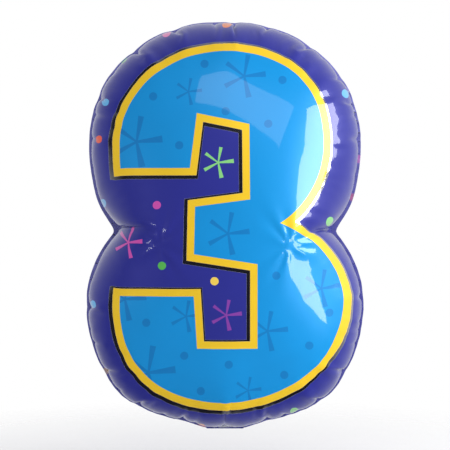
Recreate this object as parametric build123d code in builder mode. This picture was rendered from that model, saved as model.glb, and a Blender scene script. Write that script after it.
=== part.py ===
"""Foil number balloon, inflated: two film panels sealed along a flat seam, a folded tail and a flat valve.

Millimetres. +Z is up, the printed front panel faces -Y. The origin is the middle of the fold line at the
foot of the balloon, where the tail leaves the envelope, in the plane of the seam. Films are drawn thicker
than they are: about 0.05 mm of film stands as a wall of half a millimetre or so.
"""

from math import cos, pi, radians, sin
import os

from build123d import *

os.makedirs("parts", exist_ok=True)

# Driving dimensions
height = 658.0  # fold line to the top of the seam
crown = 158.0  # how far each panel bulges from the seam plane
wall = 0.7  # drawn thickness of a panel
seam_width = 5.0  # flat welded rim round both panels
seam_film = 0.6  # drawn thickness of one panel in the seam

neck_width = 60.0  # straight stretch at the foot where the tail joins
neck_film = 1.7  # drawn thickness of one panel at the neck
neck_height = 10.0
channel_width = 52.0  # open passage through the neck and the tail
neck_channel = 1.1  # half the depth of the passage at the neck

tail_length = 60.0
tail_film = 0.6
tail_channel = 0.15  # half the depth of the passage in the flat tail
tail_gap = 2.0  # fold line to the first edge of the moving tail
tail_rest_angle = 92.0  # how far the tail is folded back from hanging
tail_corner = 6.0

valve_width = 40.0
valve_top = 122.0
valve_foot = 6.7  # hinge line of the film that lifts
valve_weld = 6.0  # how far the fixed film reaches down into the neck below that
valve_film = 0.3
valve_gap = 0.2  # half the space between the two valve films
valve_corner = 5.0

# Right half of the seam's outer edge, from the top centre down to the waist and on to the foot
middle = height / 2
waist = (182.0, 318.0)
upper_lobe = [(0.0, height), (70.0, 649.5), (131.0, 623.0), (187.0, 570.0), (215.0, 505.0), (220.0, 447.0),
              (209.0, 377.0), waist]
lower_lobe = [waist, (209.0, 272.0), (224.0, 211.0), (217.0, 144.0), (198.0, 94.0), (157.0, 45.0),
              (80.0, 14.0), (neck_width / 2, 0.0)]
half_width = max(x for x, z in lower_lobe)

# The bulge: contours shrink towards a short upright crest as they rise from the seam
crest_share = 0.3  # height of the crest as a share of the balloon's height
bulge_power = 1.2  # 1 is an ellipse, more is squarer at the shoulder
contour_angles = [0, 12, 24, 36, 48, 60, 70, 79, 86]


def contour(plane, width_scale, height_scale):
    """Closed figure-of-eight outline on a plane, scaled about the middle of the balloon."""

    def scaled(points):
        return [(x * width_scale, middle + (z - middle) * height_scale) for x, z in points]

    with BuildSketch(plane) as sketch:
        with BuildLine():
            Spline(*scaled(upper_lobe), tangents=[(1, 0), (-0.55, -1)])
            Spline(*scaled(lower_lobe), tangents=[(0.65, -1), (-1, -0.3)])
            Line(scaled(lower_lobe)[-1], scaled([(0, 0)])[0])
            mirror(about=Plane.YZ)
        make_face()
    return sketch.sketch


def bulge_contours(side, inset):
    """Sections of one panel's bulge; side is 1 towards the front and -1 towards the back."""
    width_share = 1 - inset / half_width
    height_share = 1 - inset / middle
    depth = crown - (inset - seam_width)
    sections = []
    for angle in contour_angles:
        spread = cos(radians(angle)) ** (1 / bulge_power)
        crest = crest_share * (1 - spread) + spread
        rise = depth * sin(radians(angle))
        plane = Plane.XZ.offset(side * rise)
        sections.append(contour(plane, width_share * spread, height_share * crest))
    return sections


def panel(side):
    """One film panel: bulge, flat seam and half of the neck. side is 1 for the front, -1 for the back."""
    seam_plane = Plane.XZ
    rim = contour(seam_plane, 1, 1)
    rim_inset = seam_width + wall / 2
    rim_hole = contour(seam_plane, 1 - rim_inset / half_width, 1 - rim_inset / middle)
    with BuildPart() as film:
        loft(sections=bulge_contours(side, seam_width))
        loft(sections=bulge_contours(side, seam_width + wall), mode=Mode.SUBTRACT)
        extrude(rim - rim_hole, amount=side * seam_film)
        with BuildSketch(seam_plane):
            with Locations((0, neck_height / 2)):
                Rectangle(neck_width, neck_height)
        extrude(amount=side * neck_film)
        with BuildSketch(seam_plane):
            with Locations((0, neck_height / 2)):
                Rectangle(channel_width, 2 * neck_height)
        extrude(amount=side * neck_channel, mode=Mode.SUBTRACT)
    return film.part


front_panel = panel(1)
front_panel.label = "front_panel"

back_panel = panel(-1)
back_panel.label = "back_panel"

# The tail lies folded behind the foot of the balloon. Local x runs across it, local y runs along it from the
# fold line to its free end, and local z leaves its front film.
tail_plane = Plane(
    origin=(0, 0, 0),
    x_dir=(-1, 0, 0),
    z_dir=(0, -cos(radians(tail_rest_angle)), -sin(radians(tail_rest_angle))),
)


def tail_film_sheet(side):
    """One film of the tail, with a shallow channel on its inner face; side is 1 front, -1 back."""
    middle_of_tail = tail_gap + tail_length / 2
    with BuildPart() as film:
        with BuildSketch(tail_plane):
            with Locations((0, middle_of_tail)):
                RectangleRounded(neck_width, tail_length, tail_corner)
        extrude(amount=side * tail_film)
        with BuildSketch(tail_plane):
            with Locations((0, middle_of_tail)):
                Rectangle(channel_width, 2 * tail_length)
        extrude(amount=side * tail_channel, mode=Mode.SUBTRACT)
    return film.part


tail_front_film = tail_film_sheet(1)
tail_front_film.label = "tail_front_film"

tail_back_film = tail_film_sheet(-1)
tail_back_film.label = "tail_back_film"


def valve_sheet(side, foot):
    """One film of the flat valve, standing inside the envelope from foot to valve_top."""
    with BuildPart() as film:
        with BuildSketch(Plane.XZ.offset(side * valve_gap)):
            with Locations((0, (foot + valve_top) / 2)):
                RectangleRounded(valve_width, valve_top - foot, valve_corner)
        extrude(amount=side * valve_film)
    return film.part


valve_front_film = valve_sheet(1, valve_foot - valve_weld)
valve_front_film.label = "valve_front_film"

valve_back_film = valve_sheet(-1, valve_foot)
valve_back_film.label = "valve_back_film"

export_step(front_panel, "parts/front_panel.step")
export_step(back_panel, "parts/back_panel.step")
export_step(tail_front_film, "parts/tail_front_film.step")
export_step(tail_back_film, "parts/tail_back_film.step")
export_step(valve_front_film, "parts/valve_front_film.step")
export_step(valve_back_film, "parts/valve_back_film.step")
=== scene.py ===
"""Foil number balloon: two printed film panels blown up by a small cloth solver, with tail and valve films.

Metres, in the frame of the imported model: +Z up, front panel towards -Y, origin at the tail's fold line.
"""

import math

import bpy
import numpy as np
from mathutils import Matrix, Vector


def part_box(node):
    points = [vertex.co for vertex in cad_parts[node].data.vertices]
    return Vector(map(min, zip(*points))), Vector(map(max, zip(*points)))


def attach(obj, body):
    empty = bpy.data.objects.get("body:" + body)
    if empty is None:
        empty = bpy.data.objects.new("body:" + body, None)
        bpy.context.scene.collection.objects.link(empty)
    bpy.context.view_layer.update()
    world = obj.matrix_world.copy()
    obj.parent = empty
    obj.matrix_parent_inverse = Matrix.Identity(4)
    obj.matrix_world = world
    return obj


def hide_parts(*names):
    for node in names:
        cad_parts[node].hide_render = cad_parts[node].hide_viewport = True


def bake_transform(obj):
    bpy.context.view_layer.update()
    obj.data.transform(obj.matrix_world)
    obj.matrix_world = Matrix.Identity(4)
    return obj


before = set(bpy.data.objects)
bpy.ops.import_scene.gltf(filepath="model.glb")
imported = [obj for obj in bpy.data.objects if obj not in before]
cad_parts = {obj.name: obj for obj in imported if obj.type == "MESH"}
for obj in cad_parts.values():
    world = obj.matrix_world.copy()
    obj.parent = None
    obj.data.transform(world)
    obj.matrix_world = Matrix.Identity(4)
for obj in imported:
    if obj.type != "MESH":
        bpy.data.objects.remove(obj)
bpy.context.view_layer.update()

MM = 0.001
SEED = 7

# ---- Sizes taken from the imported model

panel_low, panel_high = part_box("front_panel")
HEIGHT = panel_high.z
MIDDLE = HEIGHT / 2
CROWN = -panel_low.y
_, tail_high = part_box("tail_back_film")
NECK_HALF = tail_high.x
TAIL_REACH = tail_high.y
SEAM_WIDTH = 5 * MM

# The camera looks along +Y at the balloon's middle
LENS = 85
SENSOR = 36
FRAME_SHARE = 0.9  # part of the picture's height that the balloon fills
VIEW_DISTANCE = HEIGHT / FRAME_SHARE * LENS / SENSOR

# ---- Outlines: the flat film blank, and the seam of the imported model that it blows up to

# Right half of one flat panel about its middle, from top centre to waist and from waist to foot. It gets
# narrower and shorter as it is blown up.
BLANK_UPPER = [(0, 0.401), (0.081, 0.393), (0.150, 0.366), (0.208, 0.320), (0.262, 0.252), (0.288, 0.165),
               (0.290, 0.075), (0.280, -0.006)]
BLANK_LOWER = [(0.280, -0.006), (0.291, -0.070), (0.298, -0.140), (0.284, -0.219), (0.243, -0.290),
               (0.188, -0.349), (0.120, -0.385), (0.044, -0.402), (0, -0.404)]
CURVE_STEPS = 60


def curve_through(points):
    """Centripetal Catmull-Rom curve through the points, in CURVE_STEPS pieces between each two."""
    ends = np.array(points, float)
    ends = np.vstack([2 * ends[0] - ends[1], ends, 2 * ends[-1] - ends[-2]])
    out = []
    for p0, p1, p2, p3 in zip(ends, ends[1:], ends[2:], ends[3:]):
        t1 = np.linalg.norm(p1 - p0) ** 0.5
        t2 = t1 + np.linalg.norm(p2 - p1) ** 0.5
        t3 = t2 + np.linalg.norm(p3 - p2) ** 0.5
        t = np.linspace(t1, t2, CURVE_STEPS, endpoint=False)[:, None]
        a1 = (t1 - t) / t1 * p0 + t / t1 * p1
        a2 = (t2 - t) / (t2 - t1) * p1 + (t - t1) / (t2 - t1) * p2
        a3 = (t3 - t) / (t3 - t2) * p2 + (t - t2) / (t3 - t2) * p3
        b1 = (t2 - t) / t2 * a1 + t / t2 * a2
        b2 = (t3 - t) / (t3 - t1) * a2 + (t - t1) / (t3 - t1) * a3
        out.append((t2 - t) / (t2 - t1) * b1 + (t - t1) / (t2 - t1) * b2)
    return np.vstack(out + [ends[-2:-1]])


def spaced(line, count):
    """count points at even distances along an open line, without its last point."""
    run = np.r_[0, np.cumsum(np.linalg.norm(np.diff(line, axis=0), axis=1))]
    at = np.linspace(0, run[-1], count, endpoint=False)
    return np.c_[np.interp(at, run, line[:, 0]), np.interp(at, run, line[:, 1])]


def closed_outline(upper, lower, count):
    """count points clockwise round a symmetric outline from its top centre, a quarter per lobe side."""
    quarter = count // 4
    right = np.vstack([spaced(upper, quarter), spaced(lower, quarter)])
    left = np.vstack([spaced(lower[::-1], quarter), spaced(upper[::-1], quarter)]) * [-1, 1]
    return np.vstack([right, left])


def blank_outline(count):
    """Edge of the flat blank, without its seam allowance."""
    mirrored_start = (-BLANK_UPPER[1][0], BLANK_UPPER[1][1])
    upper = curve_through([mirrored_start] + BLANK_UPPER)[CURVE_STEPS:]
    return closed_outline(upper, curve_through(BLANK_LOWER), count)


NEAR_SEAM = 2 * MM  # model edges this close to the seam plane take part in the outline
RAYS = 721  # directions from straight up to straight down
WAIST_RAYS = slice(300, 440)  # the directions among which the waist lies


def cad_outline(count):
    """The seam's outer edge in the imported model, about its middle, as a closed outline in (x, z)."""
    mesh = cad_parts["front_panel"].data
    points = np.zeros(len(mesh.vertices) * 3)
    mesh.vertices.foreach_get("co", points)
    points = points.reshape(-1, 3) - [0, 0, MIDDLE]
    edges = np.zeros(len(mesh.edges) * 2, int)
    mesh.edges.foreach_get("vertices", edges)
    ends = points[edges.reshape(-1, 2)]
    ends = ends[(np.abs(ends[:, :, 1]) < NEAR_SEAM).all(1)][:, :, [0, 2]]
    start, run = ends[:, 0], ends[:, 1] - ends[:, 0]
    angles = np.linspace(0, math.pi, RAYS)
    rays = np.c_[np.sin(angles), np.cos(angles)]
    turn = rays[:, :1] * run[:, 1] - rays[:, 1:] * run[:, 0]
    side = rays[:, :1] * start[:, 1] - rays[:, 1:] * start[:, 0]
    share = -side / np.where(np.abs(turn) < 1e-12, 1e-12, turn)
    reach = rays @ start.T + share * (rays @ run.T)
    reach[(share < 0) | (share > 1)] = 0
    longest = reach.max(1)
    edge = rays * longest[:, None]
    waist = WAIST_RAYS.start + np.argmin(longest[WAIST_RAYS])
    return closed_outline(edge[: waist + 1], edge[waist:], count)


# ---- Film grid: rings that follow the rim round a block of squares

RING_SHARE = 0.36  # how far the rings reach from the rim towards the spine
SPINE_SHARE = 0.55  # height of the spine as a share of the outline's height
PATCH_PASSES = 60  # passes that even out the block's squares


class Sheet:
    """Numbering of one film with count points round its rim. Rows 0 to count - 1 are the rim."""

    def __init__(self, count):
        self.count = count
        self.wide = count // 5
        self.tall = 3 * count // 10
        self.rings = count // 24
        corner = self.wide // 2
        inner = self.rings * count
        rim = inner + (np.arange(count + 1) - corner) % count
        grid = np.zeros((self.tall + 1, self.wide + 1), int)
        grid[0] = rim[: self.wide + 1]
        grid[:, -1] = rim[self.wide : self.wide + self.tall + 1]
        grid[-1] = rim[self.wide + self.tall : 2 * self.wide + self.tall + 1][::-1]
        grid[:, 0] = rim[2 * self.wide + self.tall :][::-1]
        inside = (self.tall - 1) * (self.wide - 1)
        grid[1:-1, 1:-1] = inner + count + np.arange(inside).reshape(self.tall - 1, -1)
        self.grid = grid
        self.size = inner + count + inside

    def faces(self):
        """Quads of the sheet, wound to face -Y."""
        k = np.arange(self.count)
        following = (k + 1) % self.count
        rows = []
        for ring in range(self.rings):
            outer, inner = ring * self.count, (ring + 1) * self.count
            rows.append(np.c_[outer + k, inner + k, inner + following, outer + following])
        g = self.grid
        block = np.stack([g[:-1, :-1], g[1:, :-1], g[1:, 1:], g[:-1, 1:]], -1).reshape(-1, 4)
        return np.vstack(rows + [block])

    def split(self, points):
        """(rings, block) arrays of a sheet's points."""
        rings = points[: (self.rings + 1) * self.count].reshape(self.rings + 1, self.count, -1)
        return rings, points[self.grid]

    def join(self, rings, block):
        inside = block[1:-1, 1:-1]
        return np.vstack([rings.reshape(-1, rings.shape[-1]), inside.reshape(-1, block.shape[-1])])

    def spread(self, outline):
        """Flat positions over a closed outline: rings inwards, then the block as a smoothed Coons patch."""
        spine = outline * [0, SPINE_SHARE]
        shares = np.linspace(0, RING_SHARE, self.rings + 1)
        rings = np.array([outline + share * (spine - outline) for share in shares])
        flat = np.zeros((self.size, 2))
        flat[: rings.shape[0] * self.count] = rings.reshape(-1, 2)
        block = flat[self.grid]
        u = np.linspace(0, 1, self.wide + 1)[None, :, None]
        v = np.linspace(0, 1, self.tall + 1)[:, None, None]
        top, bottom, left, right = block[:1], block[-1:], block[:, :1], block[:, -1:]
        top_ends = (1 - u) * top[:, :1] + u * top[:, -1:]
        bottom_ends = (1 - u) * bottom[:, :1] + u * bottom[:, -1:]
        corners = (1 - v) * top_ends + v * bottom_ends
        patch = (1 - v) * top + v * bottom + (1 - u) * left + u * right - corners
        for _ in range(PATCH_PASSES):
            around = patch[:-2, 1:-1] + patch[2:, 1:-1] + patch[1:-1, :-2] + patch[1:-1, 2:]
            patch[1:-1, 1:-1] = around / 4
        return self.join(rings, patch)


def refined(values, axis, loop):
    """Values with a cubic midpoint between each pair along an axis, which closes on itself if loop."""
    v = np.moveaxis(values, axis, 0)
    if loop:
        before, after, last = np.roll(v, 1, 0), np.roll(v, -1, 0), np.roll(v, -2, 0)
    else:
        before = np.concatenate([2 * v[:1] - v[1:2], v[:-1]])
        after = np.concatenate([v[1:], 2 * v[-1:] - v[-2:-1]])
        last = np.concatenate([after[1:], 2 * after[-1:] - after[-2:-1]])
    between = (9 * (v + after) - before - last) / 16
    out = np.stack([v, between], 1).reshape(-1, *v.shape[1:])
    if not loop:
        out = out[:-1]
    return np.moveaxis(out, 0, axis)


def refined_sheet(sheet, points):
    """A sheet's points on the sheet of twice its count."""
    rings, block = sheet.split(points)
    fine_rings = refined(refined(rings, 1, True), 0, False)
    fine_block = refined(refined(block, 1, False), 0, False)
    return Sheet(2 * sheet.count).join(fine_rings, fine_block)


# ---- Inflation: Verlet steps under pressure, with film that barely stretches and folds easily

DAMPING = 0.985
START_RISE = 105 * MM
START_PASSES = 2000
PUSH = 0.045 * MM  # push of one step on one cell of the coarsest level
GROUP_ROUNDS = 6  # searches for edges to fill one group with, before the next group is started

# Points round the rim, steps, and two shares: how much of a compressed edge's error is put right, and how
# far a point is drawn to the middle of its neighbours. The coarse levels find the smooth shape that the film
# would have if it wrinkled infinitely finely, and the last one lets it wrinkle.
SMOOTH_LEVELS = [(120, 700, 0.05, 0.02), (240, 300, 0.05, 0.02)]
WRINKLE_LEVEL = (480, 280, 0.4, 0)

UNKINKING = 2  # passes that take kinks as narrow as the grid out of the wrinkles
ROUGHNESS = 0.3 * MM  # random unevenness that lets wrinkles start
CREASE_START = (205 * MM, -6 * MM)  # the crease at the waist runs in from here
CREASE_TIP = (95 * MM, -30 * MM)  # and dies out here
CREASE_FADE = 25 * MM
CREASE_HALF = 7 * MM
CREASE_DEPTH = 0.11  # share of the height over the seam plane


def outward(outline):
    """Unit normals of a closed clockwise outline, pointing away from its inside."""
    along = np.roll(outline, -1, 0) - np.roll(outline, 1, 0)
    normal = np.c_[-along[:, 1], along[:, 0]]
    return normal / np.linalg.norm(normal, axis=1)[:, None]


def smooth_loop(values, passes):
    for _ in range(passes):
        values = (np.roll(values, 1, 0) + 2 * values + np.roll(values, -1, 0)) / 4
    return values


def sides_of(faces):
    """The sides of quads, as pairs of points."""
    return np.vstack([faces[:, [0, 1]], faces[:, [1, 2]], faces[:, [2, 3]], faces[:, [3, 0]]])


def neighbour_mean(values, sides):
    """Mean of the values at each point's neighbours along the sides."""
    size = len(values)
    ends, others = sides.ravel(), sides[:, ::-1].ravel()
    total = [np.bincount(ends, column[others], size) for column in values.T]
    return np.stack(total, 1) / np.bincount(ends, minlength=size)[:, None]


class Envelope:
    """Both films and the seam: rows for the seam's outer edge, the front sheet, the back less its rim."""

    def __init__(self, count):
        self.sheet = Sheet(count)
        self.count = count
        front = count + np.arange(self.sheet.size)
        behind = count + self.sheet.size + np.arange(self.sheet.size - count)
        back = np.r_[front[:count], behind]
        self.front, self.back = front, back
        faces = self.sheet.faces()
        k = np.arange(count)
        following = (k + 1) % count
        self.front_faces = front[faces]
        self.back_faces = back[faces][:, ::-1]
        self.seam_faces = np.c_[k, following, count + following, count + k]

    def refine(self, points):
        edge = refined(points[: self.count], 0, True)
        front = refined_sheet(self.sheet, points[self.front])
        back = refined_sheet(self.sheet, points[self.back])
        return np.vstack([edge, front, back[2 * self.count :]])


def dome(sheet, flat):
    """Height over a flat sheet, highest in the middle of the lobes: the root of a soap film's rise."""
    sides = sides_of(sheet.faces())
    rise = np.zeros((sheet.size, 1))
    for _ in range(START_PASSES):
        rise = neighbour_mean(rise, sides) + 1
        rise[: sheet.count] = 0
    return np.sqrt(rise[:, 0] / rise.max())


def edge_groups(faces, size):
    """Sides and diagonals of the quads, in groups in which no two edges share a point."""
    pairs = [[0, 1], [1, 2], [2, 3], [3, 0], [0, 2], [1, 3]]
    edges = np.unique(np.sort(np.vstack([faces[:, pair] for pair in pairs]), 1), axis=0)
    waiting = np.random.default_rng(SEED).permutation(edges)
    groups = []
    while len(waiting):
        used = np.zeros(size, bool)
        chosen = np.zeros(len(waiting), bool)
        for _ in range(GROUP_ROUNDS):
            free = np.flatnonzero(~chosen & ~used[waiting].any(1))
            first = np.full(size, len(waiting))
            np.minimum.at(first, waiting[free].ravel(), np.repeat(free, 2))
            winners = free[(first[waiting[free]] == free[:, None]).all(1)]
            chosen[winners] = True
            used[waiting[winners].ravel()] = True
        groups.append(waiting[chosen])
        waiting = waiting[~chosen]
    return groups


def blow_up(envelope, points, rest, push, steps, slack, stiffness):
    """Points after a number of steps of pressure, with edges held to their lengths in the rest shape."""
    films = np.vstack([envelope.front_faces, envelope.back_faces])
    faces = np.vstack([films, envelope.seam_faces])
    size = len(points)
    groups = []
    for edges in edge_groups(faces, size):
        length = np.linalg.norm(rest[edges[:, 0]] - rest[edges[:, 1]], axis=1)
        groups.append((edges[:, 0], edges[:, 1], length))
    corners = films.ravel()
    speed = np.zeros_like(points)
    sides = sides_of(faces)
    for _ in range(steps):
        quads = points[films]
        area = np.cross(quads[:, 2] - quads[:, 0], quads[:, 3] - quads[:, 1]) / 8
        spread = np.repeat(area, 4, axis=0)
        force = np.stack([np.bincount(corners, spread[:, axis], size) for axis in range(3)], 1)
        speed = speed * DAMPING + push * force
        before = points
        points = points + speed
        for a, b, length in groups:
            gap = points[a] - points[b]
            now = np.sqrt((gap * gap).sum(1))
            error = (now - length) / now
            gap *= (np.where(error < 0, error * slack, error) / 2)[:, None]
            points[a] -= gap
            points[b] += gap
        if stiffness:
            points += stiffness * (neighbour_mean(points, sides) - points)
        speed = points - before
    for _ in range(0 if stiffness else UNKINKING):
        points += (neighbour_mean(points, sides) - points) / 2
    return points


def waist_crease(points):
    """Share by which points start nearer the seam plane, along a line in from the waist on each side."""
    from_tip = np.abs(points[:, 0]) - CREASE_TIP[0]
    slope = (CREASE_START[1] - CREASE_TIP[1]) / (CREASE_START[0] - CREASE_TIP[0])
    line = CREASE_TIP[1] + slope * from_tip
    across = np.exp(-(((points[:, 2] - line) / CREASE_HALF) ** 2))
    return CREASE_DEPTH * across * np.clip(from_tip / CREASE_FADE, 0, 1)


def inflated():
    """(envelope, points, flat positions) of the blown-up balloon about its middle."""
    levels = SMOOTH_LEVELS + [WRINKLE_LEVEL]
    count = levels[0][0]
    envelope = Envelope(count)
    blank = blank_outline(count)
    seen = cad_outline(count)
    allowance = blank + smooth_loop(outward(blank), 2) * SEAM_WIDTH
    flat = envelope.sheet.spread(blank)
    rest = np.vstack([allowance, flat, flat[count:]])
    place = envelope.sheet.spread(seen - outward(seen) * SEAM_WIDTH)
    rise = dome(envelope.sheet, place) * START_RISE
    edge = np.c_[seen[:, 0], np.zeros(count), seen[:, 1]]
    front = np.c_[place[:, 0], -rise, place[:, 1]]
    back = np.c_[place[:, 0], rise, place[:, 1]]
    points = np.vstack([edge, front, back[count:]])
    sides = rest[envelope.front_faces[:, 0]] - rest[envelope.front_faces[:, 1]]
    cell = np.linalg.norm(sides, axis=1).mean()
    rng = np.random.default_rng(SEED)
    for count, steps, slack, stiffness in levels:
        if count > envelope.count:
            points, rest = envelope.refine(points), envelope.refine(rest)
            envelope = Envelope(count)
        if count == WRINKLE_LEVEL[0]:
            points[:, 1] += rng.normal(0, ROUGHNESS, len(points))
            points[:, 1] *= 1 - waist_crease(points)
        points = blow_up(envelope, points, rest, PUSH / cell**2, steps, slack, stiffness)
    return envelope, points, rest


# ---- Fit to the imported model: seam edge on the model's outline, crowns at the model's depth


def reach_at(outline, angles):
    """Distance from the middle to a closed outline in each direction, measured from straight up."""
    bearing = np.arctan2(outline[:, 0], outline[:, 1])
    order = np.argsort(bearing)
    reach = np.hypot(outline[:, 0], outline[:, 1])[order]
    return np.interp(angles, bearing[order], reach, period=2 * math.pi)


EDGE_FOLLOWS = 0.3  # share of the root's unevenness in the picture plane that the seam's outer edge repeats
EDGE_SWAYS = 0.5  # share of its unevenness from front to back
EDGE_CALM = 30  # passes that take the wrinkles out of a loop at the rim
RIPPLE = 0.7 * MM  # puckering of the seam's outer edge, from front to back
RIPPLE_COUNT = 97
CALM_SHARE = 0.2  # share of the wrinkles' depth that is left at the seam, and whole half the rings in
CALM_PASSES = 12
FIT_ANGLES = 720
NECK_GAP = 0.9 * MM  # half the opening of the neck, where the valve comes through
NECK_RISE = 30 * MM  # height over which the neck closes again
STRAIN_MIDDLE = (97 * MM, -30 * MM)
STRAIN_ARMS = 7
STRAIN_SWAY = 1.6  # how unevenly the arms are spread, in radians of their wave
STRAIN_HEIGHT = 3.6 * MM
STRAIN_FADE = 17 * MM


def strain_height(points):
    """Creases that radiate from the place on each side where the crease at the waist dies out."""
    across = np.abs(points[:, 0]) - STRAIN_MIDDLE[0]
    upright = points[:, 2] - STRAIN_MIDDLE[1]
    away = np.hypot(across, upright) / STRAIN_FADE
    turn = np.arctan2(upright, across)
    wave = np.sin(STRAIN_ARMS * turn + STRAIN_SWAY * np.sin(3 * turn))
    return STRAIN_HEIGHT * away * np.exp(-away) * wave


def fit_to_model(envelope, points):
    """Rebuilds the flat seam along its root and maps the whole shape onto the model's outline and depth."""
    count = envelope.count
    points = points - points[:count].mean(0)
    calm_rings = envelope.sheet.rings // 2
    for rows in (envelope.front, envelope.back[count:]):
        for ring in range(calm_rings):
            around = rows[ring * count : (ring + 1) * count]
            kept = CALM_SHARE + (1 - CALM_SHARE) * ring / calm_rings
            calm = smooth_loop(points[around], CALM_PASSES)
            points[around] = kept * points[around] + (1 - kept) * calm
    root = points[count : 2 * count]
    calm = smooth_loop(root, EDGE_CALM)
    turn = np.linspace(0, 2 * math.pi, count, endpoint=False)
    uneven = 1 + 0.6 * np.sin(7 * turn + 1)
    ripple = RIPPLE * uneven * np.sin(RIPPLE_COUNT * turn + 3 * np.sin(5 * turn))
    edge = EDGE_FOLLOWS * root + (1 - EDGE_FOLLOWS) * calm
    edge[:, [0, 2]] += smooth_loop(outward(calm[:, [0, 2]]), 4) * SEAM_WIDTH
    edge[:, 1] = EDGE_SWAYS * root[:, 1] + ripple
    points[:count] = edge
    angles = np.linspace(-math.pi, math.pi, FIT_ANGLES, endpoint=False)
    calm_edge = smooth_loop(edge[:, [0, 2]], EDGE_CALM)
    ratio = smooth_loop(reach_at(cad_outline(count), angles) / reach_at(calm_edge, angles), 6)
    bearing = np.arctan2(points[:, 0], points[:, 2])
    share = np.hypot(points[:, 0], points[:, 2]) / reach_at(edge[:, [0, 2]], bearing)
    factor = 1 + (np.interp(bearing, angles, ratio, period=2 * math.pi) - 1) * share**2
    points[:, 0] *= factor
    points[:, 2] *= factor
    deep = points[:, 1]
    points[:, 1] = np.where(deep < 0, deep * CROWN / -deep.min(), deep * CROWN / deep.max())
    points[:, 1] += np.sign(points[:, 1]) * strain_height(points)
    return points


# ---- Meshes

FILM = 0.3 * MM  # drawn thickness of a panel's film
WELD_GAP = 0.02 * MM  # half the gap drawn between the two films in the seam


def vertex_normals(points, faces):
    """Unit normals of quads averaged at their corners."""
    quads = points[faces]
    area = np.cross(quads[:, 2] - quads[:, 0], quads[:, 3] - quads[:, 1])
    total = np.zeros_like(points)
    for corner in range(4):
        np.add.at(total, faces[:, corner], area)
    return total / np.maximum(np.linalg.norm(total, axis=1), 1e-12)[:, None]


def film_piece(name, points, faces, loop, gaps, materials):
    """A closed thin piece round a sheet of quads: its two skins, joined along the loop of its border.

    gaps are how far out the outer and the inner skin lie, and materials are theirs. The inner quads start at
    the same corner as the outer ones, so both skins are cut along one diagonal.
    """
    normal = vertex_normals(points, faces)
    count = len(points)
    following = np.roll(loop, -1)
    border = np.c_[loop, loop + count, following + count, following]
    if not ((faces == loop[0]) & (np.roll(faces, -1, 1) == loop[1])).any():
        border = border[:, ::-1]
    solid = np.vstack([faces, faces[:, [0, 3, 2, 1]] + count, border])
    mesh = bpy.data.meshes.new(name)
    mesh.from_pydata(np.vstack([points + normal * gap for gap in gaps]).tolist(), [], solid.tolist())
    for material in materials:
        mesh.materials.append(material)
    on_inner = np.zeros(len(solid), int)
    on_inner[len(faces) : 2 * len(faces)] = 1
    mesh.polygons.foreach_set("material_index", on_inner)
    mesh.polygons.foreach_set("use_smooth", np.ones(len(solid), bool))
    mesh.update()
    piece = bpy.data.objects.new(name, mesh)
    bpy.context.scene.collection.objects.link(piece)
    return piece


def add_attribute(piece, name, values):
    """Stores a vector per point of the sheet, for the materials of both skins."""
    wide = np.zeros((2 * len(values), 3), np.float32)
    wide[:, : values.shape[1]] = np.vstack([values, values])
    attribute = piece.data.attributes.new(name, "FLOAT_VECTOR", "POINT")
    attribute.data.foreach_set("vector", wide.ravel())


def panel_piece(face, side, shape, artwork, lining):
    """One panel with its half of the seam. side is -1 for the front and 1 for the back.

    shape is (envelope, points fitted to the model, flat positions).
    """
    envelope, points, rest = shape
    count = envelope.count
    rows = envelope.front if side < 0 else envelope.back
    local = np.vstack([points[:count], points[rows]]) + [0, 0, MIDDLE]
    flat = np.vstack([rest[:count], rest[rows]])
    k = np.arange(count)
    following = (k + 1) % count
    seam = np.c_[k, count + k, count + following, following]
    faces = np.vstack([seam, envelope.sheet.faces() + count])
    if side > 0:
        faces = faces[:, ::-1]
    across = np.clip(1 - np.abs(local[:, 0]) / NECK_HALF, 0, 1)
    near_foot = np.clip(1 - local[:, 2] / NECK_RISE, 0, 1)
    local[:, 1] += side * NECK_GAP * np.sin(across * math.pi / 2) * near_foot
    flip = [-side / MM, 1 / MM]
    seen = print_places(count, faces, local - [0, 0, MIDDLE], side) * flip
    film = flat * flip
    ink = printed_film(face + "_print_ink", artwork, PanelPrint(seen, film))
    piece = film_piece(face + "_film", local, faces, k, (FILM + WELD_GAP, WELD_GAP), (ink, lining))
    add_attribute(piece, "seen_place", seen)
    add_attribute(piece, "film_place", film)
    add_attribute(piece, "rim_place", rim_places(envelope.sheet, flat))
    mark_sharp(piece, np.r_[k + count, k + count + len(local)], len(local))
    return piece


def rim_places(sheet, flat):
    """Cosine and sine of the way round the rim, and metres in from it along the film, for each point.

    Inside the rings the distance is given as one metre, where nothing of the rim reaches.
    """
    count = sheet.count
    turn = 2 * math.pi * np.arange(count) / count
    places = np.tile([1.0, 0.0, 1.0], (len(flat), 1))
    places[:count] = np.c_[np.cos(turn), np.sin(turn), 0 * turn]
    for first in range(count, (sheet.rings + 2) * count, count):
        rows = slice(first, first + count)
        depth = np.linalg.norm(flat[rows] - flat[count : 2 * count], axis=1)
        places[rows] = np.c_[np.cos(turn), np.sin(turn), depth]
    return places


def mark_sharp(piece, root, layer):
    """Keeps the shading crisp along the seam's root and its cut edge."""
    mesh = piece.data
    pairs = np.zeros(len(mesh.edges) * 2, int)
    mesh.edges.foreach_get("vertices", pairs)
    pairs = pairs.reshape(-1, 2)
    on_root = np.isin(pairs, root).all(1)
    crosses = (pairs < layer).sum(1) == 1
    count = len(root) // 2
    cut_edge = (pairs % layer < count).all(1)
    mesh.edges.foreach_set("use_edge_sharp", on_root | crosses | cut_edge)


PRINT_SMOOTHING = 60  # passes that take wrinkles out of the places of the print


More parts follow.
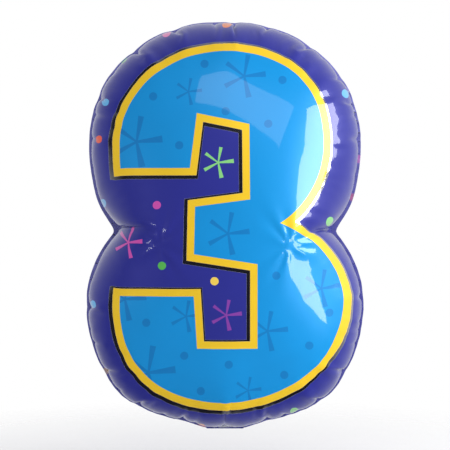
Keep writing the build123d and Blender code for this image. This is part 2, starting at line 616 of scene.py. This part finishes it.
def print_places(count, faces, local, side):
    """Where each point of a panel appears in the seam plane to a viewer who faces it, less its wrinkles.

    The film's nearness to the camera spreads the places, so print laid out by them looks right from there.
    """
    nearer = VIEW_DISTANCE - side * local[:, 1]
    seen = local[:, [0, 2]] * (VIEW_DISTANCE / nearer)[:, None]
    rim = smooth_loop(seen[: 2 * count].reshape(2, count, 2).transpose(1, 0, 2), EDGE_CALM)
    sides = sides_of(faces)
    for _ in range(PRINT_SMOOTHING):
        seen[: 2 * count] = rim.transpose(1, 0, 2).reshape(-1, 2)
        seen = (seen + neighbour_mean(seen, sides)) / 2
    return seen


# ---- Shader arithmetic


def plug(tree, value, socket):
    """Connects a field to a socket, or writes a plain value into it."""
    if isinstance(value, Field):
        tree.links.new(value.socket, socket)
    else:
        socket.default_value = value


def node_field(tree, kind, inputs=(), output=0, **settings):
    """A field from a new shader node. Its inputs are in order, or by number or name in a dict."""
    node = tree.nodes.new("ShaderNode" + kind)
    for name, setting in settings.items():
        setattr(node, name, setting)
    for key, value in inputs.items() if isinstance(inputs, dict) else enumerate(inputs):
        plug(tree, value, node.inputs[key])
    return Field(tree, node.outputs[output])


def arithmetic(operation, swapped=False):
    """The method behind a Python operator: self and other, or other and self, in a Math node."""

    def method(self, other):
        values = (other, self) if swapped else (self, other)
        return node_field(self.tree, "Math", values, operation=operation)

    return method


class Field:
    """A value at each point of a surface, worked out by shader nodes and written as plain arithmetic."""

    def __init__(self, tree, socket):
        self.tree = tree
        self.socket = socket

    __add__ = __radd__ = arithmetic("ADD")
    __sub__ = arithmetic("SUBTRACT")
    __rsub__ = arithmetic("SUBTRACT", swapped=True)
    __mul__ = __rmul__ = arithmetic("MULTIPLY")
    __truediv__ = arithmetic("DIVIDE")
    __rtruediv__ = arithmetic("DIVIDE", swapped=True)
    __pow__ = arithmetic("POWER")

    def maths(self, operation, *others, clamp=False):
        return node_field(self.tree, "Math", (self, *others), operation=operation, use_clamp=clamp)

    def __abs__(self):
        return self.maths("ABSOLUTE")

    def vector_maths(self, operation, *others):
        output = "Value" if operation in ("LENGTH", "DISTANCE") else "Vector"
        return node_field(self.tree, "VectorMath", (self, *others), output, operation=operation)

    def most(self, *others):
        """The largest of this field and the others."""
        field = self
        for other in others:
            field = field.maths("MAXIMUM", other)
        return field

    def least(self, *others):
        """The smallest of this field and the others."""
        field = self
        for other in others:
            field = field.maths("MINIMUM", other)
        return field

    def above(self, limit):
        return self.maths("GREATER_THAN", limit)

    def inside(self, soft):
        """1 where this distance is negative and 0 where it's positive, with an edge soft wide."""
        return self.maths("MULTIPLY_ADD", -1 / soft, 0.5, clamp=True)

    def turned(self, degrees):
        """This vector as seen from axes turned anticlockwise by some degrees."""
        inputs = {"Vector": self, "Angle": -math.radians(degrees)}
        return node_field(self.tree, "VectorRotate", inputs, rotation_type="Z_AXIS")

    def parts(self):
        """The x, y and z of this vector."""
        first = node_field(self.tree, "SeparateXYZ", (self,))
        return [Field(self.tree, output) for output in first.socket.node.outputs]


def blend(share, low, high, kind="FLOAT"):
    """low where share is 0 and high where it is 1; kind is FLOAT, VECTOR or RGBA."""
    tree = next(value.tree for value in (share, low, high) if isinstance(value, Field))
    first = {"FLOAT": 2, "VECTOR": 4, "RGBA": 6}[kind]
    return node_field(tree, "Mix", {0: share, first: low, first + 1: high}, first // 2 - 1, data_type=kind)


def scaled(tree, colour, share):
    return node_field(tree, "VectorMath", {"Vector": colour, "Scale": share}, operation="SCALE")


def attribute_field(tree, name):
    return node_field(tree, "Attribute", (), "Vector", attribute_name=name)


def object_place(tree):
    return node_field(tree, "TexCoord", (), "Object")


def noise_field(place, scale, detail=2.0):
    return node_field(place.tree, "TexNoise", {"Vector": place, "Scale": scale, "Detail": detail}, "Fac")


def screen_colour(red, green, blue):
    """Linear RGBA of an 8-bit screen colour."""
    linear = [((c / 255 + 0.055) / 1.055) ** 2.4 if c > 10 else c / 255 / 12.92 for c in (red, green, blue)]
    return (*linear, 1.0)


# ---- Artwork, in millimetres about the middle of the balloon; x runs to the viewer's right on either face

INK = screen_colour(44, 48, 150)
YELLOW = screen_colour(248, 205, 40)
BLUE = screen_colour(4, 149, 222)
DEEP_BLUE = screen_colour(6, 128, 200)
GOLD = screen_colour(250, 215, 90)
ORANGE = screen_colour(247, 130, 40)
RED = screen_colour(240, 84, 46)
CORAL = screen_colour(240, 98, 82)
PINK = screen_colour(236, 112, 180)
MAGENTA = screen_colour(212, 82, 178)
GREEN = screen_colour(92, 192, 84)
PALE_GREEN = screen_colour(140, 215, 130)
SKY = screen_colour(92, 184, 240)
PURPLE = screen_colour(140, 66, 170)
BLACK = screen_colour(14, 12, 18)
SILVER = (0.82, 0.82, 0.84, 1)

SOFT = 0.5  # width of a printed edge
DOT = 6.6  # radius of a confetti dot

# The digit: two bowls, and the corners of its inner edge from the hook's foot round to the lower tip
UPPER_BOWL = {"middle": (-2.2, 131.6), "left": 168.2, "right": 161.6, "up": 149.6, "down": 155.7,
              "left_up": 2.0, "right_up": 2.3, "left_down": 3.0, "right_down": 2.0}
LOWER_BOWL = {"middle": (0.0, -125.0), "left": 170.6, "right": 191.4, "up": 144.7, "down": 162.3,
              "left_up": 2.0, "right_up": 2.0, "left_down": 2.3, "right_down": 2.0}
HOOK_FOOT = (-56.8, 92.3)
HOOK_TOP = (-45.6, 181.4)
STROKE_TOP = (39.5, 163.8)
STROKE_FOOT = (40.6, 41.4)
ARM_TOP = (-48.5, 29.6)
ARM_FOOT = (-50.2, -47.4)
BOWL_TOP = (52.6, -63.4)
BOWL_FOOT = (52.6, -200.7)
TIP_FOOT = (-45.2, -200.7)
TIP_TOP = (-50.7, -115.7)
ARM_END = 70.0  # how far right the arm runs, inside the bowls
DIGIT_HALF_HEIGHT = 284.3
DIGIT_REACH = (250.0, 345.0)  # half sizes of an oval that holds the digit and its outline


def bowl_distance(x, z, bowl):
    """Roughly the distance outside an oval whose reach and squareness differ in its four quarters."""
    u, v = x - bowl["middle"][0], z - bowl["middle"][1]
    on_right, on_top = u.above(0.0), v.above(0.0)
    across = blend(on_right, bowl["left"], bowl["right"])
    upright = blend(on_top, bowl["down"], bowl["up"])
    above = blend(on_right, bowl["left_up"], bowl["right_up"])
    below = blend(on_right, bowl["left_down"], bowl["right_down"])
    power = blend(on_top, below, above)
    share = (abs(u / across) ** power + abs(v / upright) ** power) ** (1.0 / power)
    length = (u * u + v * v) ** 0.5
    return length * (1.0 - 1.0 / share.most(0.05))


def side_distance(x, z, start, end):
    """Distance to the right of a line, looking from start to end; negative on its left."""
    run = (end[0] - start[0], end[1] - start[1])
    length = math.hypot(*run)
    return x * (run[1] / length) - z * (run[0] / length) + (run[0] * start[1] - run[1] * start[0]) / length


def digit_distance(x, z):
    """Distance outside the digit's fill, with mitred corners. The fill is on the left of its inner edge."""

    def edge(start, end):
        return side_distance(x, z, start, end)

    upper = bowl_distance(x, z, UPPER_BOWL)
    lower = bowl_distance(x, z, LOWER_BOWL)
    hook = upper.most(HOOK_FOOT[1] - z, edge(HOOK_FOOT, HOOK_TOP))
    top_stroke = upper.most(edge(HOOK_TOP, STROKE_TOP))
    right_stroke = upper.most(edge(STROKE_TOP, STROKE_FOOT))
    arm = edge(STROKE_FOOT, ARM_TOP).most(edge(ARM_TOP, ARM_FOOT), edge(ARM_FOOT, BOWL_TOP), x - ARM_END)
    bowl_stroke = lower.most(edge(BOWL_TOP, BOWL_FOOT))
    bottom_stroke = lower.most(edge(BOWL_FOOT, TIP_FOOT))
    tip = lower.most(edge(TIP_FOOT, TIP_TOP), z - TIP_TOP[1])
    return hook.least(top_stroke, right_stroke, arm, bowl_stroke, bottom_stroke, tip)


# A five-armed star of tapered strokes; its arms aren't quite evenly spread
STAR_SWAY = 0.155
STAR_SWAY_START = 0.66
STAR_ROOT = 0.04  # half width of an arm at the middle, as a share of the star's reach
STAR_GAIN = 0.08  # gain of that half width along the arm


def star_cover(x, z, reach):
    """Cover of a star of a given reach about the origin."""
    bearing = z.maths("ARCTAN2", x)
    swayed = bearing - STAR_SWAY * (bearing + STAR_SWAY_START).maths("SINE")
    fifth = 2 * math.pi / 5
    from_arm = swayed.maths("WRAP", fifth / 2, -fifth / 2)
    length = (x * x + z * z) ** 0.5
    along = length * from_arm.maths("COSINE")
    aside = length * abs(from_arm.maths("SINE"))
    half = reach * STAR_ROOT + along * STAR_GAIN
    return (aside - half).most(along - reach).inside(SOFT)


FAR = (1e4, 0.0, 0.0)  # where no star or digit reaches


def add_stars(colour, place, stars):
    """colour with stars that don't overlap, each (x, z, reach, turn, its colour)."""
    local, reach, nearest_colour = FAR, 1.0, BLACK
    for x, z, star_reach, turn, star_colour in stars:
        offset = place.vector_maths("SUBTRACT", (x, z, 0.0))
        here = (offset.vector_maths("LENGTH") - star_reach * 1.05).inside(0.01)
        local = blend(here, local, offset.turned(turn) if turn else offset, "VECTOR")
        reach = blend(here, reach, star_reach)
        nearest_colour = blend(here, nearest_colour, star_colour, "RGBA")
    x, z, _ = local.parts()
    return blend(star_cover(x, z, reach), colour, nearest_colour, "RGBA")


def add_dots(colour, place, dots):
    """colour with round dots, each (x, z, its colour)."""
    for x, z, dot_colour in dots:
        cover = (place.vector_maths("DISTANCE", (x, z, 0.0)) - DOT).inside(SOFT)
        colour = blend(cover, colour, dot_colour, "RGBA")
    return colour


class PanelPrint:
    """Places on one panel for its artwork: as seen from in front, and a mix of that and the flat film.

    Confetti is laid out in the mix, so that it's hardly squashed from in front and not too long from aside.
    """

    FILM_SHARE = 0.15

    def __init__(self, seen, film):
        self.seen = seen
        self.mixed = seen * (1 - self.FILM_SHARE) + film * self.FILM_SHARE

    def fields(self, tree):
        """(seen place, mixed place) as fields."""
        seen = attribute_field(tree, "seen_place")
        film = attribute_field(tree, "film_place")
        return seen, blend(self.FILM_SHARE, seen, film, "VECTOR")

    def moved(self, items):
        """Items that start with their seen (x, z), at their places in the mix."""
        out = []
        for x, z, *details in items:
            nearest = np.argmin(((self.seen - [x, z]) ** 2).sum(1))
            place = self.mixed[nearest] + [x, z] - self.seen[nearest]
            out.append((float(place[0]), float(place[1]), *details))
        return out


CONFETTI_FRONT = [
    (2, 323, ORANGE), (-95, 308, PINK), (-162, 264, GREEN), (-192, 199, SKY), (-203, 139, RED),
    (216, 107, PINK), (193, 213, SKY), (206, 45, RED), (-195, 36, SKY), (-110, 32, MAGENTA),
    (169, 8, PALE_GREEN), (-102, -66, GREEN), (-17, -91, GOLD), (-212, -128, SKY), (-191, -236, GOLD),
    (112, -300, PALE_GREEN), (-37, -324, ORANGE)]
STARS_FRONT = [(-11, 101, 25, 0, PALE_GREEN), (-156, -29, 25, 0, MAGENTA), (2, -146, 25, 0, PURPLE)]
TONE_STARS = [  # x, z, reach
    (31, 241, 35), (-59, 216, 22), (-143, 135, 42), (5, -14, 35), (-63, -148, 26), (-124, -239, 44),
    (69, -172, 33), (37, -268, 22), (156, -103, 31), (-162, -121, 35)]
TONE_DOTS = [
    (-33, 261), (-116, 208), (-74, 129), (1, 184), (70, 164), (93, 235), (-127, -158), (-66, -212),
    (6, -226), (-39, -269), (96, -243), (136, -195), (83, -82), (169, -143)]
YELLOW_BAND = 12.0
FOIL_BAND = 4.2  # bare foil round the yellow band
FOIL_SHIFT = 1.6  # how far it is printed out of line, down and to the left


def front_artwork(tree, panel):
    """(ink colour, bare foil share) of the front: one big digit over confetti."""
    seen, mixed = panel.fields(tree)
    colour = add_dots(INK, mixed, panel.moved(CONFETTI_FRONT))
    colour = add_stars(colour, mixed, panel.moved(STARS_FRONT))
    x, z, _ = seen.parts()
    outside = digit_distance(x, z)
    shifted = digit_distance(x + FOIL_SHIFT, z + FOIL_SHIFT)
    bare = (shifted - YELLOW_BAND - FOIL_BAND).inside(SOFT)
    fill = add_dots(BLUE, seen, [(*dot, DEEP_BLUE) for dot in TONE_DOTS])
    fill = add_stars(fill, seen, [(*star, 0, DEEP_BLUE) for star in TONE_STARS])
    banded = (outside - YELLOW_BAND).inside(SOFT)
    colour = blend(banded, colour, YELLOW, "RGBA")
    return blend(outside.inside(SOFT), colour, fill, "RGBA"), bare * (1.0 - banded)


CONFETTI_BACK = [
    (0, 320, GOLD), (-134, 227, SKY), (41, 213, MAGENTA), (131, 226, ORANGE), (175, 111, GOLD),
    (-103, 42, RED), (151, 16, RED), (211, 45, SKY), (-179, -32, GOLD), (-8, -50, SKY), (140, -48, GREEN),
    (-104, -173, MAGENTA), (-8, -142, GOLD), (-153, -240, SKY), (9, -241, RED), (208, -181, GOLD),
    (13, -326, SKY)]
STARS_BACK = [
    (84, 296, 42, 5, SKY), (-63, 124, 39, 20, PURPLE), (59, -67, 29, 0, RED), (-199, -148, 61, 0, RED)]
# x, z, height, degrees turned anticlockwise, colour at the head and at the foot, 1 for a bare foil outline
DIGITS_BACK = [
    (-53, 251, 121, 9, YELLOW, YELLOW, 0), (-167, 118, 171, -13, BLUE, BLUE, 0),
    (58, 74, 242, -31, ORANGE, RED, 1), (204, 211, 116, -40, CORAL, CORAL, 1),
    (-76, -81, 120, 8, GREEN, GREEN, 0), (201, -90, 125, -18, PINK, PINK, 1),
    (-72, -249, 118, -25, PURPLE, PURPLE, 0), (111, -231, 238, 12, BLUE, BLUE, 0)]
OUTLINE = 4.2
HEAD_RUN = (400.0, 120.0)  # how far right and how far up the colour goes from the foot's to the head's


def digit_layer(place, digits):
    """(cover, colour, outline cover, bare foil share of the outline) of small digits that don't overlap."""
    local, scale, head, foot, bare = FAR, 1.0, BLACK, BLACK, 0.0
    for x, z, height, turn, head_colour, foot_colour, foil in digits:
        size = height / 2 / DIGIT_HALF_HEIGHT
        offset = place.vector_maths("SUBTRACT", (x, z, 0.0)).turned(turn)
        offset = offset.vector_maths("MULTIPLY", (1 / size, 1 / size, 1 / size))
        share = offset.vector_maths("MULTIPLY", (1 / DIGIT_REACH[0], 1 / DIGIT_REACH[1], 0.0))
        here = (share.vector_maths("LENGTH") - 1.0).inside(0.001)
        local = blend(here, local, offset, "VECTOR")
        scale = blend(here, scale, size)
        head = blend(here, head, head_colour, "RGBA")
        foot = blend(here, foot, foot_colour, "RGBA")
        bare = blend(here, bare, float(foil))
    x, z, _ = local.parts()
    outside = digit_distance(x, z) * scale
    colour = blend(z / HEAD_RUN[1] + x / HEAD_RUN[0] + 0.5, foot, head, "RGBA")
    return outside.inside(SOFT), colour, (outside - OUTLINE).inside(SOFT), bare


def back_artwork(tree, panel):
    """(ink colour, bare foil share) of the back: small digits, stars and dots scattered all over."""
    _, mixed = panel.fields(tree)
    colour = add_dots(INK, mixed, panel.moved(CONFETTI_BACK))
    colour = add_stars(colour, mixed, panel.moved(STARS_BACK))
    fill, digit_colour, outlined, foil = digit_layer(mixed, panel.moved(DIGITS_BACK))
    colour = blend(outlined, colour, BLACK, "RGBA")
    return blend(fill, colour, digit_colour, "RGBA"), outlined * foil * (1.0 - fill)


# ---- Materials

COMB_COUNT = 290  # fine puckers round the rim
COMB_SWAY = 3.0  # how far they drift apart and together, in radians, COMB_SWAYS times round the rim
COMB_SWAYS = 23.0
COMB_PATCHES = 9.0  # scale of the patches in which they are strong or weak
COMB_HEIGHT = 0.09 * MM
COMB_FADE = 38 * MM
COAT_ROUGHNESS = 0.035
SEAM_ROUGHNESS = 0.3
SEAM_PAINTED_REFLECTION = screen_colour(132, 132, 206)  # painted reflection: the seam's ink is paled towards this tint, which stands in for the pale surroundings reflected at the rim
SEAM_REFLECTION_SHARE = 0.7
INK_METAL = 0.12  # how metallic the ink looks over the foil
GRAIN_SCALE = 900.0
GRAIN_HEIGHT = 0.004 * MM
HAZE_SCALE = 14.0
SEAL_MIDDLE = 15.5 * MM  # from the valve's middle line to each of its ribbed seals
SEAL_HALF = 2.5 * MM
RIB_TURNS = 4200.0  # radians of the ribs' wave per metre
RIB_HEIGHT = 0.03 * MM


def new_material(name):
    """(material, tree, shader) with a Principled shader."""
    material = bpy.data.materials.new(name)
    material.use_nodes = True
    return material, material.node_tree, material.node_tree.nodes["Principled BSDF"]


def set_inputs(tree, shader, values):
    for name, value in values.items():
        plug(tree, value, shader.inputs[name])


def bump(height):
    """Normals of a surface raised by a height field in metres."""
    return node_field(height.tree, "Bump", {"Distance": 1.0, "Height": height})


def sealed_share(tree):
    """1 on the welded seam and 0 on the film inside it."""
    _, _, depth = attribute_field(tree, "rim_place").parts()
    return (depth - 0.5 * MM).inside(0.8 * MM)


def comb_height(tree):
    """Fine puckers that run in from the seam, uneven in strength round the rim."""
    rim = attribute_field(tree, "rim_place")
    cosine, sine, depth = rim.parts()
    turn = sine.maths("ARCTAN2", cosine)
    wave = (turn * COMB_COUNT + COMB_SWAY * (turn * COMB_SWAYS).maths("SINE")).maths("SINE")
    fade = (depth * (-1 / COMB_FADE)).maths("EXPONENT")
    return wave * fade * (noise_field(rim, COMB_PATCHES) * 2.0) * COMB_HEIGHT


def coated_ink(tree, shader, colour, metallic, roughness, coat_roughness, height):
    """Ink under a clear coat, over foil, on a surface raised by height."""
    normal = bump(height)
    set_inputs(tree, shader, {
        "Base Color": colour, "Metallic": metallic, "Roughness": roughness, "Coat Weight": 1.0,
        "Coat Roughness": coat_roughness, "Normal": normal, "Coat Normal": normal})


def printed_film(name, artwork, panel):
    """Printed film. artwork gives the ink's colour and where the foil is left bare."""
    material, tree, shader = new_material(name)
    colour, bare = artwork(tree, panel)
    place = object_place(tree)
    grain = noise_field(place, GRAIN_SCALE)
    sealed = sealed_share(tree)
    # Painted reflection: the seam's ink is paled towards a pale tint that stands in for the surroundings
    # reflected at the rim
    colour = blend(sealed * SEAM_REFLECTION_SHARE, colour, SEAM_PAINTED_REFLECTION, "RGBA")
    inked = scaled(tree, colour, blend(noise_field(place, HAZE_SCALE), 0.94, 1.06))
    coated_ink(
        tree, shader, blend(bare, inked, SILVER, "RGBA"), blend(bare, INK_METAL, 1.0),
        blend(bare, 0.30 + 0.12 * grain, 0.10), blend(sealed, COAT_ROUGHNESS, SEAM_ROUGHNESS),
        comb_height(tree) + grain * GRAIN_HEIGHT)
    shader.inputs["Specular IOR Level"].default_value = 0.35
    return material


def bare_foil(name):
    """Bare aluminised inside of the film, with faint creases."""
    material, tree, shader = new_material(name)
    creases = noise_field(object_place(tree), 160.0, 5.0)
    set_inputs(tree, shader, {
        "Base Color": SILVER, "Metallic": 1.0, "Roughness": 0.14 + 0.12 * creases,
        "Normal": bump(creases * (0.4 * MM))})
    return material


def tail_print(name):
    """Ink over foil, crumpled a little by handling. Its colour holds painted shade and highlight: darker in
    the creases' hollows and lighter on their ridges.
    """
    material, tree, shader = new_material(name)
    creases = noise_field(object_place(tree), 120.0, 6.0)
    # Painted shade and highlight: the ink is darkened where the crease bump is low and lightened where it is
    # high
    inked = scaled(tree, INK[:3], blend(creases, 0.85, 1.15))
    coated_ink(
        tree, shader, inked, INK_METAL, 0.28 + 0.14 * creases, COAT_ROUGHNESS, creases * (0.7 * MM))
    return material


def valve_plastic(name):
    """Thin milky polyethylene with ribbed heat seals down both sides."""
    material, tree, shader = new_material(name)
    place = object_place(tree)
    x, _, z = place.parts()
    seal = (abs(abs(x) - SEAL_MIDDLE) - SEAL_HALF).inside(0.6 * MM)
    ribs = (z * RIB_TURNS).maths("SINE") * seal
    cloud = noise_field(place, 60.0, 4.0)
    normal = bump(cloud * (0.3 * MM) + ribs * RIB_HEIGHT)
    set_inputs(tree, shader, {
        "Base Color": blend(seal, (0.86, 0.88, 0.92, 1), (0.97, 0.97, 0.98, 1), "RGBA"),
        "Roughness": 0.22 + 0.2 * cloud, "Alpha": blend(seal, 0.35, 0.7), "Normal": normal})
    return material


# ---- Tail and valve

TAIL_FOLD_RADIUS = 1.5 * MM
TAIL_ANGLE = math.radians(92)
TAIL_CORNER = 6 * MM
TAIL_HALF_GAP = 0.25 * MM
MOUTH_HALF_GAP = 1.4 * MM  # added to it at the open end of the tail
TAIL_FILM = 0.16 * MM
TAIL_GRID = (61, 49)  # points along and across one film
VALVE_FILM = 0.12 * MM
VALVE_GRID = (57, 21)


def grid_piece(name, points, film, materials):
    """A thin piece round a (rows, columns, 3) grid of points."""
    rows, columns = points.shape[:2]
    number = np.arange(rows * columns).reshape(rows, columns)
    quads = np.stack([number[:-1, :-1], number[:-1, 1:], number[1:, 1:], number[1:, :-1]], -1)
    border = np.r_[number[0], number[1:, -1], number[-1, -2::-1], number[-2:0:-1, 0]]
    flat_list = points.reshape(-1, 3)
    return film_piece(name, flat_list, quads.reshape(-1, 4), border, (film / 2, -film / 2), materials)


def tail_piece(name, side, materials):
    """One film of the tail, from the fold line round the fold and back under the balloon.

    side is 1 for the film that continues the front panel, which lies lowest, and -1 for the other.
    """
    rows, columns = TAIL_GRID
    x = np.linspace(-NECK_HALF, NECK_HALF, columns)[None, :]
    fold = TAIL_FOLD_RADIUS * TAIL_ANGLE
    straight = (TAIL_REACH - TAIL_FOLD_RADIUS) / math.sin(TAIL_ANGLE)
    from_side = np.clip((np.abs(x) - (NECK_HALF - TAIL_CORNER)) / TAIL_CORNER, 0, 1)
    length = fold + straight - TAIL_CORNER * (1 - np.sqrt(1 - from_side**2))
    share = np.linspace(0, 1, rows)[:, None]
    run = share * length
    turn = np.minimum(run / TAIL_FOLD_RADIUS, TAIL_ANGLE)
    beyond = np.maximum(run - fold, 0)
    along_y = TAIL_FOLD_RADIUS * (1 - np.cos(turn)) + beyond * math.sin(TAIL_ANGLE)
    along_z = -TAIL_FOLD_RADIUS * np.sin(turn) - beyond * math.cos(TAIL_ANGLE)
    arch = np.sqrt(np.clip(1 - (x / NECK_HALF) ** 2, 0, 1))
    gap = side * (TAIL_HALF_GAP + MOUTH_HALF_GAP * arch * share**2)
    wave = 0.5 * MM * share * np.sin(x / (9 * MM) + 3 * share + 1)
    wave = wave + 0.8 * MM * share**2 * np.sin(x / (21 * MM))
    shift = gap + wave
    y = along_y - shift * np.cos(turn)
    z = along_z - shift * np.sin(turn)
    points = np.stack([np.broadcast_to(x, y.shape), y, z], -1)
    if side > 0:
        points = points[:, ::-1]
    piece = grid_piece(name, points, TAIL_FILM, materials)
    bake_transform(piece)
    return piece


def valve_piece(name, node, bow, material):
    """One flat film of the valve where the model has it, slightly slack between its ends."""
    low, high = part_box(node)
    rows, columns = VALVE_GRID
    x = np.linspace(low.x, high.x, columns)[None, :]
    z = np.linspace(low.z, high.z, rows)[:, None]
    middle = (low.y + high.y) / 2
    share = (z - low.z) / (high.z - low.z)
    slack = bow * np.sin(math.pi * share) * np.cos(x / high.x * math.pi / 2)
    ripple = 0.05 * MM * np.sin(z / (7 * MM)) * np.sin(x / (6 * MM)) * np.sin(math.pi * share)
    y = middle + slack + ripple
    points = np.stack([np.broadcast_to(x, y.shape), y, np.broadcast_to(z, y.shape)], -1)
    return grid_piece(name, points, VALVE_FILM, (material, material))


# ---- Balloon

envelope, points, rest = inflated()
shape = envelope, fit_to_model(envelope, points), rest

lining = bare_foil("bare_foil")
for face, side, artwork in (("front", -1, front_artwork), ("back", 1, back_artwork)):
    piece = panel_piece(face, side, shape, artwork, lining)
    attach(piece, "envelope")
    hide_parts(face + "_panel")

tail_ink = tail_print("tail_ink")
for name, side, node in (("tail_front", 1, "tail_front_film"), ("tail_back", -1, "tail_back_film")):
    piece = tail_piece(name, side, (tail_ink, lining))
    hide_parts(node)

valve_material = valve_plastic("valve_polyethylene")
for name, node, body, bow in (
    ("valve_front", "valve_front_film", "envelope", -0.5 * MM),
    ("valve_back", "valve_back_film", "valve_flap", 0.2 * MM),
):
    piece = valve_piece(name, node, bow, valve_material)
    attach(piece, body)
    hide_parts(node)

# ---- Studio

HOVER = 0.12  # from the floor to the balloon's foot
FLOOR_RADIUS = 1.0
FLOOR_CORNERS = 64
FLOOR_FADE = 0.35  # where the floor starts to fade out

camera = bpy.data.objects.new("camera", bpy.data.cameras.new("camera"))
bpy.context.scene.collection.objects.link(camera)
camera.data.lens = LENS
camera.data.sensor_width = SENSOR
camera.location = (0, -VIEW_DISTANCE, MIDDLE)
camera.rotation_euler = (math.radians(90), 0, 0)
bpy.context.scene.camera = camera
bpy.context.scene.view_settings.view_transform = "Standard"


def soft_box(name, azimuth, elevation, distance, width, height, power):
    """A rectangular light that stays with the camera, aimed at the balloon. Azimuth runs to the right."""
    light = bpy.data.lights.new(name, "AREA")
    light.shape = "RECTANGLE"
    light.size, light.size_y = width, height
    light.energy = power
    lamp = bpy.data.objects.new(name, light)
    bpy.context.scene.collection.objects.link(lamp)
    a, e = math.radians(azimuth), math.radians(elevation)
    target = Vector((0, 0, -VIEW_DISTANCE))
    away = Vector((math.sin(a) * math.cos(e), math.sin(e), math.cos(a) * math.cos(e))) * distance
    lamp.parent = camera
    lamp.location = target + away
    lamp.rotation_mode = "QUATERNION"
    lamp.rotation_quaternion = away.to_track_quat("Z", "Y")
    return lamp


soft_box("window", 72, 16, 1.9, 1.0, 1.1, 24)
soft_box("window_low", 56, -10, 2.0, 0.26, 1.0, 6)
soft_box("fill_left", -58, 0, 2.2, 0.08, 0.9, 2)
soft_box("overhead", 14, 38, 2.0, 1.9, 0.5, 4)


def studio_world():
    """White for the camera and pale grey for soft light.

    In reflections it is dark behind the camera, and darker low down and on the left.
    """
    world = bpy.data.worlds.new("studio")
    bpy.context.scene.world = world
    world.use_nodes = True
    tree = world.node_tree
    direction = node_field(tree, "TexCoord", (), "Generated")
    from_camera = node_field(
        tree, "VectorTransform", (direction,), vector_type="VECTOR", convert_from="WORLD",
        convert_to="CAMERA")
    right, up, ahead = from_camera.parts()
    bright = ahead * 0.9 + 0.35 + up.least(0.0) * 0.5 + right.least(0.0) * 0.35
    reflected = blend(bright, (0.01, 0.01, 0.016, 1), (0.62, 0.62, 0.68, 1), "RGBA")
    is_glossy = node_field(tree, "LightPath", (), "Is Glossy Ray")
    is_camera = node_field(tree, "LightPath", (), "Is Camera Ray")
    colour = blend(is_glossy, (0.80, 0.80, 0.82, 1), reflected, "RGBA")
    colour = blend(is_camera, colour, (1.0, 1.0, 1.0, 1), "RGBA")
    plug(tree, colour, tree.nodes["Background"].inputs["Color"])


studio_world()


def pale_floor():
    """A round pale floor that fades out before it could draw a horizon."""
    mesh = bpy.data.meshes.new("floor")
    turns = np.linspace(0, 2 * math.pi, FLOOR_CORNERS, endpoint=False)
    rim = [(FLOOR_RADIUS * math.cos(turn), FLOOR_RADIUS * math.sin(turn), -HOVER) for turn in turns]
    mesh.from_pydata(rim, [], [tuple(range(FLOOR_CORNERS))])
    floor = bpy.data.objects.new("floor", mesh)
    bpy.context.scene.collection.objects.link(floor)
    material, tree, shader = new_material("floor")
    place = object_place(tree)
    x, y, _ = place.parts()
    away = (x * x + y * y) ** 0.5
    solid = (away - (FLOOR_FADE + FLOOR_RADIUS) / 2).inside(FLOOR_RADIUS - FLOOR_FADE)
    pale = blend(noise_field(place, 8.0), (0.86, 0.86, 0.87, 1), (0.9, 0.9, 0.9, 1), "RGBA")
    set_inputs(tree, shader, {"Base Color": pale, "Roughness": 0.8, "Alpha": solid})
    mesh.materials.append(material)
    floor.visible_glossy = False


pale_floor()
